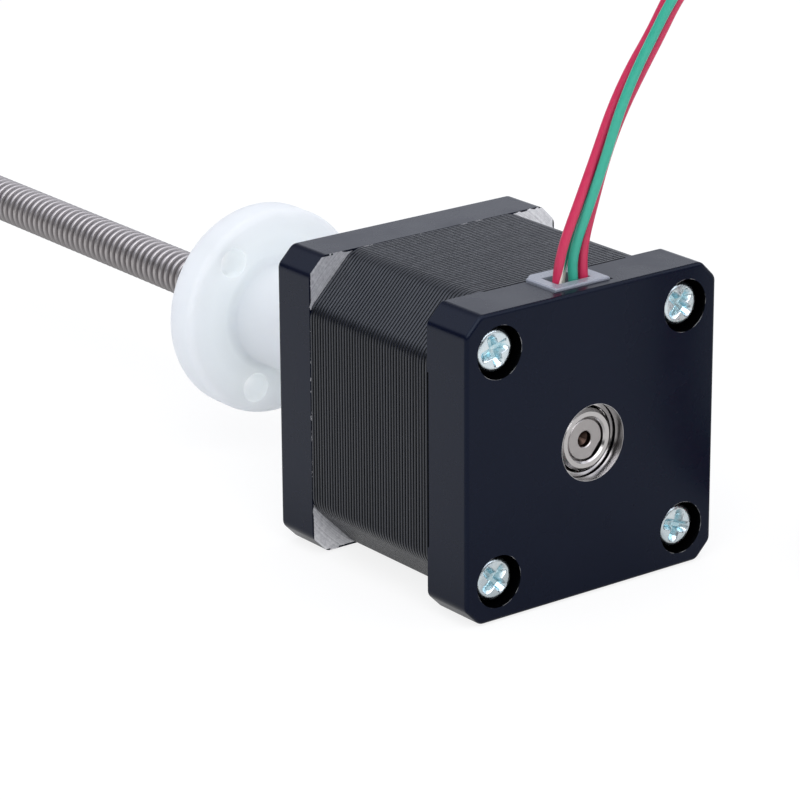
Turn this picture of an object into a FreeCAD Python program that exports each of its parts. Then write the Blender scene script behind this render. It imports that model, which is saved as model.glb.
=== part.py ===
import FreeCAD, Part
import math
import os

# External linear stepper motor: a square hybrid motor whose shaft is a lead screw for a flanged nut.
# Millimetres. The origin is the centre of the front mounting face, +X runs out along the screw, +Z is up.

# Frame: two end bells clamp the lamination stack
frame_side = 35.0
hole_pitch = 26.0
rear_bell_length = 6.75
stack_length = 21.2
front_bell_length = 6.05
bell_crop = 2.0
bell_blend = 1.2
edge_break = 0.45
pilot_radius = 11.0
pilot_height = 2.0

stack_rear = -front_bell_length - stack_length
rear_face = stack_rear - rear_bell_length
stack_front = -front_bell_length
half_side = frame_side / 2
half_pitch = hole_pitch / 2

# Inside of the bells
coil_room_radius = 15.0
rear_wall = 2.0
front_wall = 1.5
hub_radius = 8.0
relief_depth = 0.25
relief_length = 20.0

# Lamination stack: cropped corners, eight poles with six teeth on each
stack_inset = 0.12
stack_crop = 5.7
stack_blend = 2.2
pole_count = 8
teeth_per_pole = 6
tooth_count = 50
tooth_share = 0.46
tooth_depth = 0.5
stator_bore = 9.2
shoe_radius = 10.4
neck_width = 3.2
neck_radius = 10.9
slot_radius = 14.6

# Rotor: two toothed cups, half a tooth apart, with a magnet disc between them
rotor_radius = 9.0
cup_length = 9.5
magnet_radius = 8.2
magnet_bore = 3.0

# Windings and their plastic end insulators
liner = 0.4
coil_inner = 11.0
coil_outer = 13.9
coil_build = 1.9
insulator_plate = 0.8
insulator_height = 3.0
insulator_rim = (14.5, 14.85)
insulator_flange = (10.1, 10.9)
flange_half_angle = 16.0

# Ball bearings, 5 x 13 x 4
bearing_bore = 2.5
bearing_radius = 6.5
bearing_width = 4.0
inner_land = 3.55
ring_overhang = 0.3
ring_bevels = (0.2, 0.35)
outer_land = 5.4
ball_radius = 1.19
ball_circle = 4.5
ball_count = 7
ball_clearance = 0.05
cage_radii = (4.15, 4.85)
cage_width = 2.9
shield_inner = 3.85
shield_outer = 5.7
shield_thickness = 0.2
shield_setback = 0.25
rear_lip = 1.35
rear_opening = 4.35
front_bearing_front = 0.5
front_lip_rear = 1.0
front_opening = 4.3

# Lead screw: bearing journals inside the motor, thread outside, modelled at its major diameter
journal_radius = 2.5
screw_radius = 2.77
screw_tip = 100.0
screw_tip_chamfer = 0.8
shaft_end = rear_face + 1.0
shaft_flat_offset = 2.05
shaft_flat_length = 5.0
shaft_flat_angle = -140.0
centre_hole_radius = 0.9
centre_hole_depth = 1.6
spacer_radius = 3.3

# Nut: flange with three holes, hub towards the motor
nut_flange_rear = 25.0
nut_flange_thickness = 4.55
nut_flange_radius = 12.7
nut_hub_radius = 6.35
nut_length = 19.05
nut_bore = 2.83
nut_hole_circle = 19.05 / 2
nut_hole_radius = 1.8
nut_hole_angle = 50.0
nut_edge_round = 0.9
nut_root_fillet = 1.0

# Fasteners
tie_clear_radius = 1.35
tie_shank_radius = 1.25
tie_core_radius = 1.0
tie_head_radius = 2.45
tie_head_height = 1.9
tie_head_round = 0.75
tie_engagement = 2.4
counterbore_radius = 3.0
counterbore_depth = 2.6
mount_hole_radius = 1.25
mount_hole_depth = 3.0

# Preload washer between the front bearing and the front lip
washer_radii = (5.0, 6.2)
washer_thickness = 0.15
washer_waves = 3

# Lead grommet in the top of the rear bell: a tray with a hole in its floor for each lead
notch_depth = 5.2
notch_y = (-3.95, 4.35)
grommet_rear = stack_rear - 5.05
grommet_y = (-3.6, 4.0)
grommet_overhang = 0.8
grommet_proud = 0.3
grommet_crop = (0.8, 1.1)
grommet_edge = 0.15
grommet_underside = 15.0
grommet_floor = 16.5
grommet_opening = ((-31.1, -28.3), (-2.0, 2.75))
lead_hole_radius = 0.58

# Leads: they rise out of the grommet, arch over and are wound into a flat coil beside the motor.
# A lead's points are (along the lean, towards the viewer, up), from the foot of the bundle.
lead_diameter = 1.1
lead_foot = (-30.6, 0.5)
lean = (-0.6, -0.8)
viewer = (-0.8, 0.6)
floor_level = -half_side
lead_rise = {
    "lead_red_white": [
        (-1.6, 0.6, 15.4), (-1.52, 0.6, 17.5), (-1.26, 0.6, 20.0), (-0.64, 0.5, 22.5), (0.71, 0.2, 26.3),
        (2.58, -0.4, 31.6), (4.17, -0.65, 36.5), (6.1, -0.8, 40.9), (8.17, -0.95, 44.6), (9.81, -1.05, 48.2),
    ],
    "lead_green": [
        (0.4, -0.6, 15.4), (0.33, -0.6, 17.1), (0.15, -0.5, 19.6), (0.7, -0.2, 22.3), (1.94, 0.15, 26.2),
        (3.63, 0.5, 31.7), (5.0, 0.7, 36.7), (6.66, 0.8, 41.1), (8.44, 0.85, 44.9), (10.15, 0.9, 48.5),
    ],
    "lead_red": [
        (1.6, -1.4, 15.4), (1.47, -1.4, 16.9), (1.29, -1.4, 19.3), (1.48, -1.3, 21.9), (2.4, -1.15, 25.9),
        (3.7, -0.85, 31.4), (5.4, -0.6, 36.4), (7.44, -0.35, 40.9), (9.26, -0.15, 44.7), (10.87, -0.05, 48.3),
    ],
    "lead_green_white": [
        (-1.2, -1.3, 15.4), (-1.1, -1.3, 17.1), (-0.8, -1.5, 19.6), (-0.1, -1.75, 22.3), (1.3, -2.0, 26.2),
        (3.15, -2.15, 31.7), (4.8, -2.15, 36.7), (6.75, -2.15, 41.1), (8.6, -2.2, 44.9), (10.2, -2.25, 48.5),
    ],
}
# Each lead's place in the bundle over the arch, (outwards, towards the viewer), and its layer in the coil
lead_place = {
    "lead_red_white": (0.75, -1.0),
    "lead_green": (0.0, 0.85),
    "lead_red": (-0.9, -0.1),
    "lead_green_white": (0.0, -2.2),
}
lead_layer = {"lead_green": 0, "lead_red": 1, "lead_red_white": 2, "lead_green_white": 3}
arch = [(13.5, 54.0), (19.0, 57.2), (24.6, 55.6), (28.3, 50.6), (30.0, 43.0), (30.4, 32.5), (30.3, 21.5)]
leg = 30.5
layer_pitch = 1.2
leg_pitch = 1.25
coil_turn_radii = (4.7, 9.0)
coil_entry = -10.9
coil_margin = 0.65
coil_lift = 0.4


def vec(x, y, z):
    return FreeCAD.Vector(x, y, z)


def polar(x, radius, degrees):
    angle = math.radians(degrees)
    return vec(x, radius * math.cos(angle), radius * math.sin(angle))


def cylinder(radius, x0, x1, y=0.0, z=0.0):
    return Part.makeCylinder(radius, x1 - x0, vec(x0, y, z), vec(1, 0, 0))


def tube(inner, outer, x0, x1):
    return cylinder(outer, x0, x1).cut(cylinder(inner, x0, x1))


def box(x, y, z):
    """A block between three pairs of limits."""
    return Part.makeBox(x[1] - x[0], y[1] - y[0], z[1] - z[0], vec(x[0], y[0], z[0]))


def turned(profile):
    """The solid that an (x, radius) outline sweeps around the motor axis."""
    points = [vec(x, r, 0) for x, r in profile + profile[:1]]
    return Part.Face(Part.makePolygon(points)).revolve(vec(0, 0, 0), vec(1, 0, 0), 360)


def about_axis(shape, degrees):
    copy = shape.copy()
    copy.rotate(vec(0, 0, 0), vec(1, 0, 0), degrees)
    return copy


def at_corners(shape):
    """Four copies of a shape, one on each corner of the square hole pattern."""
    copies = []
    for y in (-half_pitch, half_pitch):
        for z in (-half_pitch, half_pitch):
            copy = shape.copy()
            copy.translate(vec(0, y, z))
            copies.append(copy)
    return copies


def cropped_block(side, crop, blend, x0, x1):
    """A square bar along X with its corners cropped and the eight long edges blended."""
    flat, short = side / 2, side / 2 - crop
    corners = [(flat, short), (short, flat), (-short, flat), (-flat, short)]
    corners += [(-y, -z) for y, z in corners]
    outline = Part.makePolygon([vec(x0, y, z) for y, z in corners + corners[:1]])
    block = Part.Face(outline).extrude(vec(x1 - x0, 0, 0))
    long_edges = [e for e in block.Edges if e.BoundBox.XLength > 0.5 * (x1 - x0)]
    return block.makeFillet(blend, long_edges)


def round_rim(shape, x, radius):
    """Rounds the outer rim of a block at one end."""
    rim = [e for e in shape.Edges if abs(e.BoundBox.XMin - x) + abs(e.BoundBox.XMax - x) < 1e-4]
    return shape.makeFillet(radius, rim)


def coil_room(wall_x, mouth_x, hub_end):
    """The space that a bell leaves round its bearing hub for the ends of the windings."""
    low, high = sorted((wall_x, mouth_x))
    hub = sorted((wall_x, hub_end))
    return cylinder(coil_room_radius, low, high).cut(cylinder(hub_radius, hub[0], hub[1]))


def front_bell():
    bell = round_rim(cropped_block(frame_side, bell_crop, bell_blend, stack_front, 0), 0, edge_break)
    pilot = turned([(-1, 0), (-1, pilot_radius), (pilot_height - edge_break, pilot_radius),
                    (pilot_height, pilot_radius - edge_break), (pilot_height, 0)])
    bearing_rear = front_bearing_front - bearing_width
    cutters = [
        coil_room(-front_wall, stack_front, bearing_rear - 0.2),
        cylinder(bearing_radius, bearing_rear - 0.2, front_lip_rear),
        cylinder(front_opening, front_lip_rear, pilot_height),
    ]
    cutters += at_corners(cylinder(mount_hole_radius, -mount_hole_depth, 0))
    cutters += at_corners(cylinder(tie_core_radius, stack_front, -mount_hole_depth))
    return bell.fuse(pilot).cut(cutters).removeSplitter()


def rear_bell():
    bell = cropped_block(frame_side, bell_crop, bell_blend, rear_face, stack_rear)
    bell = round_rim(bell, rear_face, edge_break)
    bearing_front = rear_face + rear_lip + bearing_width
    notch_rear = stack_rear - notch_depth
    reliefs = []
    for turn in (0, 90, 180, 270):
        relief = box((stack_rear - relief_depth, stack_rear),
                     (-relief_length / 2, relief_length / 2), (coil_room_radius - 1, half_side))
        reliefs.append(about_axis(relief, turn))
    cutters = [
        coil_room(rear_face + rear_wall, stack_rear, bearing_front + 0.1),
        cylinder(bearing_radius, rear_face + rear_lip, bearing_front + 0.1),
        cylinder(rear_opening, rear_face, rear_face + rear_lip),
        box((notch_rear, stack_rear), notch_y, (coil_room_radius - 2, half_side)),
    ]
    cutters += at_corners(cylinder(counterbore_radius, rear_face, rear_face + counterbore_depth))
    cutters += at_corners(cylinder(tie_clear_radius, rear_face + counterbore_depth, stack_rear))
    return bell.cut(cutters + reliefs).removeSplitter()


def arc_on(x, radius, start, end):
    """An arc about the motor axis, in the plane at x, between two angles in degrees."""
    middle = polar(x, radius, (start + end) / 2)
    return Part.Arc(polar(x, radius, start), middle, polar(x, radius, end)).toShape()


def line(a, b):
    return Part.LineSegment(a, b).toShape()


def rotor_outline(x, phase):
    """The toothed outline of a rotor cup, turned by phase degrees."""
    pitch = 360 / tooth_count
    half_tip = tooth_share * pitch / 2
    root = rotor_radius - tooth_depth
    edges = []
    for i in range(tooth_count):
        middle = phase + i * pitch
        rise, fall, following = middle - half_tip, middle + half_tip, middle + pitch - half_tip
        edges.append(line(polar(x, root, rise), polar(x, rotor_radius, rise)))
        edges.append(arc_on(x, rotor_radius, rise, fall))
        edges.append(line(polar(x, rotor_radius, fall), polar(x, root, fall)))
        edges.append(arc_on(x, root, fall, following))
    return Part.Wire(edges)


def pole_edges(x, middle):
    """One pole of the stator bore and the slot after it: shoe side, teeth, shoe side, slot floor."""
    pitch = 360 / tooth_count
    half_tip = tooth_share * pitch / 2
    root = stator_bore + tooth_depth
    shoe = (teeth_per_pole - 1) / 2 * pitch + half_tip
    neck = math.degrees(math.asin(neck_width / 2 / neck_radius))
    floor = math.degrees(math.asin(neck_width / 2 / slot_radius))
    left = [polar(x, slot_radius, middle - floor), polar(x, neck_radius, middle - neck),
            polar(x, shoe_radius, middle - shoe), polar(x, stator_bore, middle - shoe)]
    right = [polar(x, stator_bore, middle + shoe), polar(x, shoe_radius, middle + shoe),
             polar(x, neck_radius, middle + neck), polar(x, slot_radius, middle + floor)]
    edges = [line(a, b) for a, b in zip(left, left[1:])]
    for i in range(teeth_per_pole):
        start = middle - shoe + i * pitch
        end = start + 2 * half_tip
        edges.append(arc_on(x, stator_bore, start, end))
        if i < teeth_per_pole - 1:
            edges.append(line(polar(x, stator_bore, end), polar(x, root, end)))
            edges.append(arc_on(x, root, end, start + pitch))
            edges.append(line(polar(x, root, start + pitch), polar(x, stator_bore, start + pitch)))
    edges += [line(a, b) for a, b in zip(right, right[1:])]
    edges.append(arc_on(x, slot_radius, middle + floor, middle + 360 / pole_count - floor))
    return edges


def stator_core():
    core = cropped_block(frame_side - 2 * stack_inset, stack_crop, stack_blend, stack_rear, stack_front)
    edges = []
    for i in range(pole_count):
        edges += pole_edges(stack_rear, i * 360 / pole_count)
    bore = Part.Face(Part.Wire(edges)).extrude(vec(stack_length, 0, 0))
    return core.cut([bore] + at_corners(cylinder(tie_clear_radius, stack_rear, stack_front)))


def rotor_cup(x0, phase):
    cup = Part.Face(rotor_outline(x0, phase)).extrude(vec(cup_length, 0, 0))
    return cup.cut(cylinder(journal_radius, x0, x0 + cup_length))


def end_insulator(end, outwards):
    """The moulding on one end of the stack: neck plates, a rim, pole flanges and slot liners."""
    span = sorted((end, end + outwards * insulator_height))
    plate = sorted((end, end + outwards * insulator_plate))
    inner_end = sorted((end, end - outwards * stack_length / 2))
    pieces = [tube(insulator_rim[0], insulator_rim[1], span[0], span[1])]
    half_neck = neck_width / 2 + liner
    flange_side = insulator_flange[1] * math.tan(math.radians(flange_half_angle))
    sector = Part.makePolygon([vec(span[0], 0, 0), vec(span[0], 2 * coil_inner, -2 * flange_side),
                               vec(span[0], 2 * coil_inner, 2 * flange_side), vec(span[0], 0, 0)])
    wedge = Part.Face(sector).extrude(vec(span[1] - span[0], 0, 0))
    flange = tube(insulator_flange[0], insulator_flange[1], span[0], span[1]).common(wedge)
    reach = (insulator_flange[0] + 0.3, insulator_rim[0] + 0.1)
    pole = flange.fuse(box(plate, reach, (-half_neck, half_neck)))
    for side in (-1, 1):
        wall = sorted((side * neck_width / 2, side * half_neck))
        pole = pole.fuse(box(inner_end, (coil_inner, coil_outer), wall))
    pieces += [about_axis(pole, i * 360 / pole_count) for i in range(pole_count)]
    return pieces[0].fuse(pieces[1:]).removeSplitter()


def winding(middle):
    """One coil wound round a pole neck, as a block with rounded corners and a slot through it."""
    hole_y = neck_width / 2 + liner
    hole_x = stack_length / 2 + insulator_plate
    centre = (stack_rear + stack_front) / 2
    outer = box((centre - hole_x - coil_build, centre + hole_x + coil_build), (coil_inner, coil_outer),
                (-hole_y - coil_build, hole_y + coil_build))
    corners = [e for e in outer.Edges if e.BoundBox.YLength > 0.5 * (coil_outer - coil_inner)]
    outer = outer.makeFillet(coil_build * 0.9, corners)
    inner = box((centre - hole_x, centre + hole_x), (coil_inner, coil_outer), (-hole_y, hole_y))
    return about_axis(outer.cut(inner), middle)


def phase_windings(first):
    """The four coils of one phase, on every other pole."""
    poles = range(first, pole_count, 2)
    return Part.makeCompound([winding(i * 360 / pole_count) for i in poles])


def lead_screw():
    shoulder = front_bearing_front + ring_overhang
    screw = turned([
        (shaft_end, 0), (shaft_end, journal_radius - 0.3), (shaft_end + 0.3, journal_radius),
        (shoulder, journal_radius), (shoulder, screw_radius - 0.15), (shoulder + 0.3, screw_radius),
        (screw_tip - screw_tip_chamfer, screw_radius), (screw_tip, screw_radius - screw_tip_chamfer),
        (screw_tip, 0),
    ])
    flat = box((shaft_end - 1, shaft_end + shaft_flat_length), (shaft_flat_offset, 2 * journal_radius),
               (-journal_radius, journal_radius))
    centre = turned([(shaft_end, 0), (shaft_end, centre_hole_radius),
                     (shaft_end + centre_hole_depth - centre_hole_radius, centre_hole_radius),
                     (shaft_end + centre_hole_depth, 0)])
    return screw.cut([about_axis(flat, shaft_flat_angle), centre])


def ball_race(middle):
    return Part.makeTorus(ball_circle, ball_radius + ball_clearance, vec(middle, 0, 0), vec(1, 0, 0))


def inner_ring(x0, x1):
    """The ring on the shaft: a little wider than the bearing, its rims bevelled inside and outside."""
    bore, land = bearing_bore + ring_bevels[0], inner_land - ring_bevels[1]
    ends = (x0 - ring_overhang, x1 + ring_overhang)
    return turned([
        (ends[0] + ring_bevels[0], bearing_bore), (ends[0], bore), (ends[0], land),
        (ends[0] + ring_bevels[1], inner_land), (ends[1] - ring_bevels[1], inner_land),
        (ends[1], land), (ends[1], bore), (ends[1] - ring_bevels[0], bearing_bore),
    ])


def bearing(x0):
    """The pieces of one shielded ball bearing whose rear side is at x0."""
    x1, middle = x0 + bearing_width, x0 + bearing_width / 2
    race = ball_race(middle)
    first_seat = (x0 + shield_setback, x0 + shield_setback + shield_thickness)
    second_seat = (x1 - shield_setback - shield_thickness, x1 - shield_setback)
    shields = [tube(shield_inner, shield_outer, seat[0], seat[1]) for seat in (first_seat, second_seat)]
    seats = [cylinder(shield_outer, x0, first_seat[1]), cylinder(shield_outer, second_seat[0], x1)]
    ball = Part.makeSphere(ball_radius, vec(middle, ball_circle, 0))
    pocket = Part.makeSphere(ball_radius + 2 * ball_clearance, vec(middle, ball_circle, 0))
    turns = [i * 360 / ball_count for i in range(ball_count)]
    cage = tube(cage_radii[0], cage_radii[1], middle - cage_width / 2, middle + cage_width / 2)
    return {
        "outer_ring": tube(outer_land, bearing_radius, x0, x1).cut([race] + seats),
        "inner_ring": inner_ring(x0, x1).cut(race),
        "balls": Part.makeCompound([about_axis(ball, turn) for turn in turns]),
        "cage": cage.cut([about_axis(pocket, turn) for turn in turns]),
        "shields": Part.makeCompound(shields),
    }


def wave_ring(radius, x, swing):
    """A closed curve about the axis that rises and falls along it."""
    steps = 12 * washer_waves
    points = []
    for i in range(steps):
        angle = 360 * i / steps
        points.append(polar(x + swing * math.cos(math.radians(washer_waves * angle)), radius, angle))
    curve = Part.BSplineCurve()
    curve.interpolate(Points=points, PeriodicFlag=True)
    return curve.toShape()


def wave_washer():
    low, high = front_bearing_front, front_lip_rear
    swing = (high - low - washer_thickness) / 2
    rear = [wave_ring(r, low + swing, swing) for r in washer_radii]
    front = [wave_ring(r, high - swing, swing) for r in washer_radii]
    loop = [rear[0], rear[1], front[1], front[0]]
    skins = [Part.makeRuledSurface(a, b) for a, b in zip(loop, loop[1:] + loop[:1])]
    shell = Part.makeShell([face for skin in skins for face in skin.Faces])
    shell.sewShape()
    washer = Part.makeSolid(shell)
    if washer.Volume < 0:
        washer.reverse()
    return washer


def tie_screws():
    """Four pan-head screws through the stack into the front bell."""
    seat = rear_face + counterbore_depth
    top = seat - tie_head_height
    crown = tie_head_radius - tie_head_round
    screw = turned([
        (top, 0), (top, crown), (top + 0.22, tie_head_radius - 0.3), (top + tie_head_round, tie_head_radius),
        (seat, tie_head_radius), (seat, tie_shank_radius), (stack_front, tie_shank_radius),
        (stack_front, tie_core_radius), (stack_front + tie_engagement, tie_core_radius),
        (stack_front + tie_engagement, 0),
    ])
    return Part.makeCompound(at_corners(screw))


def lead_nut():
    front = nut_flange_rear + nut_flange_thickness
    rear = front - nut_length
    nut = cylinder(nut_flange_radius, nut_flange_rear, front)
    rims = [e for e in nut.Edges if abs(e.BoundBox.YLength - 2 * nut_flange_radius) < 1e-3]
    nut = nut.makeFillet(nut_edge_round, [e for e in rims if e.BoundBox.XLength < 1e-6])
    nut = nut.fuse(cylinder(nut_hub_radius, rear, nut_flange_rear))
    root = [e for e in nut.Edges if abs(e.BoundBox.XMin - nut_flange_rear) < 1e-4
            and abs(e.BoundBox.YLength - 2 * nut_hub_radius) < 1e-3]
    nut = nut.makeFillet(nut_root_fillet, root)
    hub_rim = [e for e in nut.Edges if abs(e.BoundBox.XMax - rear) < 1e-4]
    nut = nut.makeChamfer(0.4, hub_rim)
    holes = [cylinder(nut_bore, rear, front)]
    for i in range(3):
        angle = nut_hole_angle + 120 * i
        place = polar(0, nut_hole_circle, angle)
        holes.append(cylinder(nut_hole_radius, nut_flange_rear, front, place.y, place.z))
    return nut.cut(holes)


def lead_grommet():
    """A plastic tray in the bell's notch, two corners cropped, with a hole along the foot of each lead."""
    lip = stack_rear + grommet_overhang
    top = half_side + grommet_proud
    along, across = grommet_crop
    right, left = grommet_y
    overhang_level = half_side - stack_inset / 2
    outline = [(grommet_rear, right), (lip - along, right), (lip, right + across),
               (lip, left - across), (lip - along, left), (grommet_rear, left)]
    points = [vec(x, y, grommet_underside) for x, y in outline + outline[:1]]
    tray = Part.Face(Part.makePolygon(points)).extrude(vec(0, 0, top - grommet_underside))
    tray = tray.makeChamfer(grommet_edge, [e for e in tray.Edges if e.BoundBox.ZMin > top - 0.01])
    cutters = [
        box((stack_rear, lip + 1), (right - 1, left + 1), (grommet_underside - 1, overhang_level)),
        box(grommet_opening[0], grommet_opening[1], (grommet_floor, top + 1)),
    ]
    for points in lead_rise.values():
        foot, above = [lead_place_in_model(*point) for point in points[:2]]
        run = above - foot
        run.normalize()
        cutters.append(Part.makeCylinder(lead_hole_radius, 5, foot - run * 2, run))
    return tray.cut(cutters)


def lead_place_in_model(along, towards, height):
    return vec(lead_foot[0] + lean[0] * along + viewer[0] * towards,
               lead_foot[1] + lean[1] * along + viewer[1] * towards, height)


def arch_points(place):
    """The bundle's way over the arch, moved sideways to one lead's place in it."""
    outwards, towards = place
    route = [(9.9, 49.0)] + arch + [(leg, 10.0)]
    points = []
    for before, here, after in zip(route, route[1:], route[2:]):
        run, rise = after[0] - before[0], after[1] - before[1]
        length = math.hypot(run, rise)
        points.append((here[0] - outwards * rise / length, towards, here[1] + outwards * run / length))
    return points


def coil_lead_in(place, layer):
    """Down the leg, where the leads part into layers, and round into the coil."""
    outwards, towards = place
    up = layer_pitch * layer
    column = 0.6 - leg_pitch * layer
    lowest = floor_level + coil_lift + lead_diameter / 2 + 0.05
    return [
        (leg + 0.7 * outwards, (towards + column) / 2, 10.5), (leg - 0.2, column, -0.5),
        (leg, column - 0.4, lowest + 9.0 + 0.75 * up), (leg + 0.1, -1.8 - 0.9 * up, lowest + 3.8 + up),
        (leg, -5.6 - 0.5 * up, lowest + 0.6 + up), (leg, coil_entry, lowest + up),
    ]


def lead_route(name):
    place = lead_place[name]
    points = lead_rise[name] + arch_points(place) + coil_lead_in(place, lead_layer[name])
    return [lead_place_in_model(*point) for point in points]


def lead_tube(name):
    """A round lead along straight runs joined by arcs as large as the runs allow."""
    route = lead_route(name)
    edges, radii, start = [], [], route[0]
    for before, here, after in zip(route, route[1:], route[2:]):
        back, ahead = before - here, after - here
        reach = 0.45 * min(back.Length, ahead.Length)
        half_turn = (math.pi - back.getAngle(ahead)) / 2
        radii.append(reach / math.tan(half_turn))
        back.normalize()
        ahead.normalize()
        first, last = here + back * reach, here + ahead * reach
        inwards = back + ahead
        inwards.normalize()
        gap = radii[-1] / math.cos(half_turn) - radii[-1]
        edges += [line(start, first), Part.Arc(first, here + inwards * gap, last).toShape()]
        start = last
    edges.append(line(start, route[-1]))
    path = Part.Wire(edges)
    section = Part.Wire(Part.makeCircle(lead_diameter / 2, route[0], route[1] - route[0]))
    solid = path.makePipeShell([section], True, False)
    share = solid.Volume / (math.pi * lead_diameter ** 2 / 4 * path.Length)
    print(name, "length", round(path.Length, 1), "volume share", round(share, 4),
          "radii", [round(r, 1) for r in radii])
    return solid


def lead_coil():
    """The outer shape of the four leads' wound length, lying on the floor."""
    centre = lead_place_in_model(leg + coil_turn_radii[1], coil_entry, floor_level)
    height = layer_pitch * 3 + lead_diameter + coil_lift + 0.1
    up = vec(0, 0, 1)
    outer = Part.makeCylinder(coil_turn_radii[1] + coil_margin, height, centre, up)
    inner = Part.makeCylinder(coil_turn_radii[0] - coil_margin, height, centre, up)
    return outer.cut(inner)


def build():
    magnet_rear = stack_rear + cup_length
    magnet_front = stack_front - cup_length
    rear_bearing_rear = rear_face + rear_lip
    rear_bearing_front = rear_bearing_rear + bearing_width
    front_bearing_rear = front_bearing_front - bearing_width
    parts = {
        "front_bell": front_bell(),
        "rear_bell": rear_bell(),
        "stator_core": stator_core(),
        "front_insulator": end_insulator(stack_front, 1),
        "rear_insulator": end_insulator(stack_rear, -1),
        "phase_a_windings": phase_windings(0),
        "phase_b_windings": phase_windings(1),
        "rotor_cup_rear": rotor_cup(stack_rear, 0),
        "rotor_cup_front": rotor_cup(stack_front - cup_length, 180 / tooth_count),
        "rotor_magnet": tube(magnet_bore, magnet_radius, magnet_rear, magnet_front),
        "lead_screw": lead_screw(),
        "rear_spacer": tube(journal_radius, spacer_radius, rear_bearing_front + ring_overhang, stack_rear),
        "front_spacer": tube(journal_radius, spacer_radius, stack_front, front_bearing_rear - ring_overhang),
        "wave_washer": wave_washer(),
        "tie_screws": tie_screws(),
        "lead_nut": lead_nut(),
        "lead_grommet": lead_grommet(),
        "lead_coil": lead_coil(),
    }
    for place, x0 in (("rear", rear_bearing_rear), ("front", front_bearing_rear)):
        for piece, shape in bearing(x0).items():
            parts[f"{place}_bearing_{piece}"] = shape
    for name in lead_rise:
        parts[name] = lead_tube(name)
    return parts


os.makedirs("parts", exist_ok=True)
for node, shape in build().items():
    shape.exportStep(f"parts/{node}.step")
    print(node, "valid", shape.isValid(), "solids", len(shape.Solids), "volume", round(shape.Volume, 2))
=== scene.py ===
import math

import bmesh
import bpy
from mathutils import Matrix, Vector


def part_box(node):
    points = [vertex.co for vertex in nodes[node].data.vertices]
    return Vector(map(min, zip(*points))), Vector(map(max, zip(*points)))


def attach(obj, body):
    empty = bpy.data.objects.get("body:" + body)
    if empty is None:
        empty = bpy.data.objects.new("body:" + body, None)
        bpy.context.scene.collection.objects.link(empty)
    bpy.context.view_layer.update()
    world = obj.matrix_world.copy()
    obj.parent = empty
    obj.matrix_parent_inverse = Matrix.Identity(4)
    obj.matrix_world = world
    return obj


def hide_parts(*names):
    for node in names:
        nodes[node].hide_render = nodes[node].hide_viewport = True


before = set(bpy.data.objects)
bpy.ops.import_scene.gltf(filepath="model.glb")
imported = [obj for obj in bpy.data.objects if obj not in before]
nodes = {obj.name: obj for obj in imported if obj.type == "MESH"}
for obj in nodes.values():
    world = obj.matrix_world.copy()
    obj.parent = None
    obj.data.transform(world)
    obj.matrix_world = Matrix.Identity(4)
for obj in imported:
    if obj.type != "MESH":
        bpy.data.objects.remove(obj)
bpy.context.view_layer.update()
scene = bpy.context.scene
scene.view_settings.view_transform = "Standard"
mm = 0.001
print("frame loaded:", len(nodes), "nodes")


# small helpers shared by the pieces

def linkObject(name, data):
    obj = bpy.data.objects.new(name, data)
    scene.collection.objects.link(obj)
    return obj


def meshObject(name, verts, faces, smooth=True):
    mesh = bpy.data.meshes.new(name)
    mesh.from_pydata(verts, [], faces)
    mesh.validate()
    for polygon in mesh.polygons:
        polygon.use_smooth = smooth
    return linkObject(name, mesh)


def dropObject(obj):
    data = obj.data
    bpy.data.objects.remove(obj)
    if isinstance(data, bpy.types.Mesh):
        bpy.data.meshes.remove(data)
    elif isinstance(data, bpy.types.Curve):
        bpy.data.curves.remove(data)


def addNode(tree, kind, inputs=None, **props):
    made = tree.nodes.new(kind)
    for key, value in props.items():
        setattr(made, key, value)
    for key, value in (inputs or {}).items():
        if isinstance(value, bpy.types.NodeSocket):
            tree.links.new(value, made.inputs[key])
        else:
            made.inputs[key].default_value = value
    return made


def mathNode(tree, operation, a, b=0.0):
    return addNode(tree, "ShaderNodeMath", {0: a, 1: b}, operation=operation).outputs[0]


def srgb(r, g, b):
    # undoes the sRGB curve, for colours given as they look on a screen
    return tuple(((c / 255 + 0.055) / 1.055) ** 2.4 if c > 10 else c / 255 / 12.92 for c in (r, g, b)) + (1.0,)


# camera, fitted to the photograph's bell edges and screw pockets

cameraSettings = {
    "azimuth": 232.759, "elevation": 19.229, "roll": 0.370,
    "place": (-323.662 * mm, 246.443 * mm, 137.489 * mm), "lens": 167.476, "sensor": 36.0, "clipStart": 0.01,
}


def addCamera(s):
    a, e, r = (math.radians(s[k]) for k in ("azimuth", "elevation", "roll"))
    back = Vector((math.sin(a) * math.cos(e), -math.cos(a) * math.cos(e), math.sin(e)))
    right = Vector((math.cos(a), math.sin(a), 0))
    up = back.cross(right)
    right, up = right * math.cos(r) - up * math.sin(r), right * math.sin(r) + up * math.cos(r)
    data = bpy.data.cameras.new("camera")
    data.lens, data.sensor_width, data.clip_start = s["lens"], s["sensor"], s["clipStart"]
    camera = linkObject("camera", data)
    camera.matrix_world = Matrix.Translation(s["place"]) @ Matrix((right, up, back)).transposed().to_4x4()
    scene.camera = camera


addCamera(cameraSettings)


# leads: the route's points are part.py's, (along the lean, towards the viewer, up) in millimetres

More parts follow.
